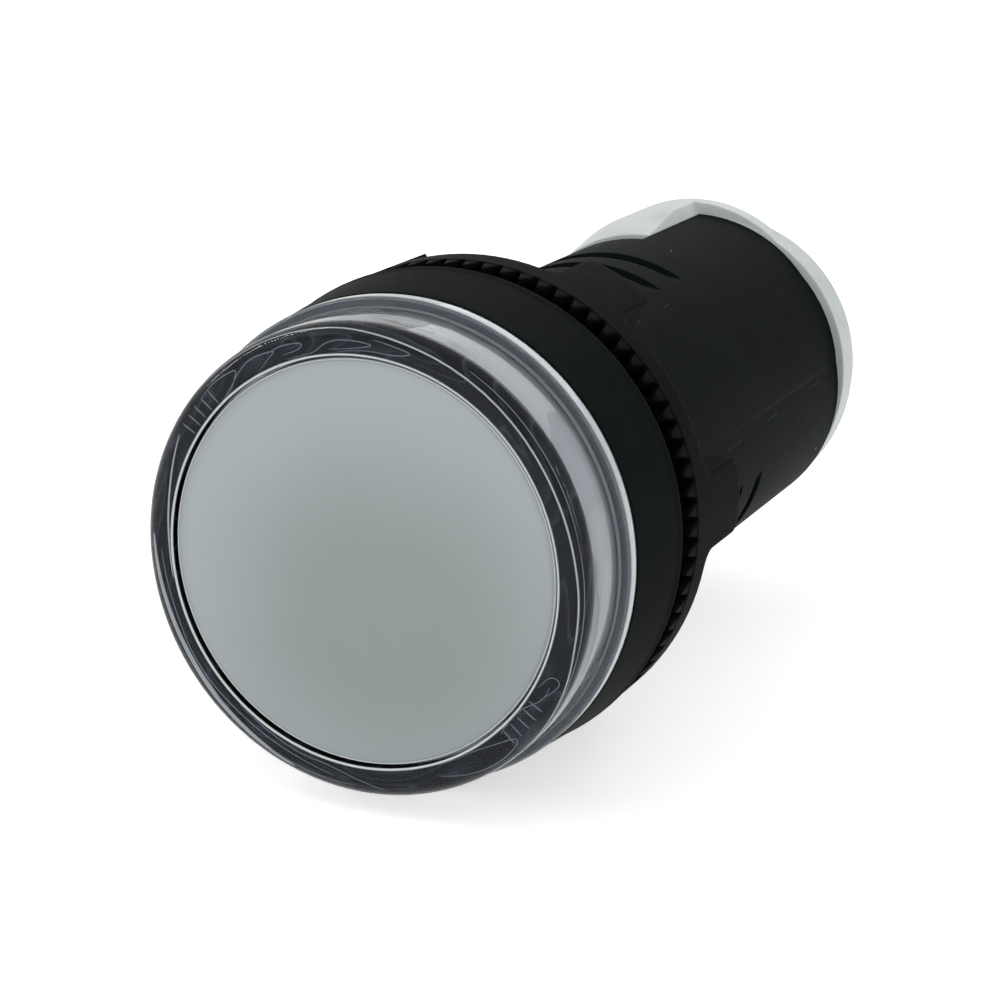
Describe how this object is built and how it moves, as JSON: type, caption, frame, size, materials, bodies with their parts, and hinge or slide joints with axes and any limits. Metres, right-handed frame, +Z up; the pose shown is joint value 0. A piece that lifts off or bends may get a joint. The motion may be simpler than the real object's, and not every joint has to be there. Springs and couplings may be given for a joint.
{
  "type": "panel pilot light",
  "caption": "Round panel pilot light with a clear lens over a milky diffuser, black threaded barrel, toothed ring nut, pale terminal base and pull-off rear guard.",
  "frame": {"origin": "on the lamp's axis at the gasket's rear face, where the panel's front face seats", "axes": "+Y along the axis from the lens to the terminals, +Z up, +X to the right seen from the lens side"},
  "size_m": [0.0291, 0.0607, 0.029],
  "materials": {
    "clear_lens": "clear polycarbonate, polished",
    "milky_diffuser": "milky polycarbonate, fine matt front",
    "black_housing": "black moulded plastic, satin",
    "black_rubber": "black rubber, matt",
    "black_nut": "black moulded plastic, satin",
    "pale_base": "pale grey-green moulded plastic, satin",
    "pale_guard": "pale grey-green translucent plastic, satin",
    "brass_plate": "stamped brass",
    "zinc_steel": "zinc-plated steel",
    "white_board": "white solder mask",
    "lamp_chip": "phosphor-filled resin",
    "green_board": "green solder mask",
    "red_epoxy": "dipped epoxy",
    "dark_sleeve": "shrink sleeve",
    "black_epoxy": "moulded epoxy",
    "resistor_lacquer": "beige lacquer",
    "blue_epoxy": "dipped epoxy",
    "tinned_wire": "tinned copper wire"
  },
  "bodies": {
    "lamp": {"lens": "clear_lens", "diffuser": "milky_diffuser", "housing": "black_housing", "gasket": "black_rubber", "terminal_base": "pale_base", "plate_left": "brass_plate", "plate_right": "brass_plate", "lamp_board": "white_board", "lamp_chips": "lamp_chip", "driver_board": "green_board", "film_capacitor": "red_epoxy", "smoothing_capacitor": "dark_sleeve", "bridge_rectifier": "black_epoxy", "resistors": "resistor_lacquer", "surge_absorber": "blue_epoxy", "board_pins": "brass_plate", "lead_left": "tinned_wire", "lead_right": "tinned_wire"},
    "nut": {"nut": "black_nut"},
    "clamp_washer_left": {"clamp_washer_left": "zinc_steel"},
    "clamp_washer_right": {"clamp_washer_right": "zinc_steel"},
    "screw_left": {"screw_left": "zinc_steel"},
    "screw_right": {"screw_right": "zinc_steel"},
    "rear_guard": {"rear_guard": "pale_guard"}
  },
  "joints": [
    {"name": "nut_travel", "type": "slide", "parent": "lamp", "child": "nut", "axis": [0, 1, 0], "range_m": [-0.0002, 0.028]},
    {"name": "guard_pull", "type": "slide", "parent": "lamp", "child": "rear_guard", "axis": [0, 1, 0], "range_m": [0, 0.014]},
    {"name": "clamp_lift_left", "type": "slide", "parent": "lamp", "child": "clamp_washer_left", "axis": [0, 1, 0], "range_m": [0, 0.0015]},
    {"name": "screw_turn_left", "type": "hinge", "parent": "clamp_washer_left", "child": "screw_left", "pos_m": [-0.0043, 0.0411, 0], "axis": [0, 1, 0], "range_deg": [0, 1080]},
    {"name": "clamp_lift_right", "type": "slide", "parent": "lamp", "child": "clamp_washer_right", "axis": [0, 1, 0], "range_m": [0, 0.0015]},
    {"name": "screw_turn_right", "type": "hinge", "parent": "clamp_washer_right", "child": "screw_right", "pos_m": [0.0043, 0.0411, 0], "axis": [0, 1, 0], "range_deg": [0, 1080]}
  ]
}
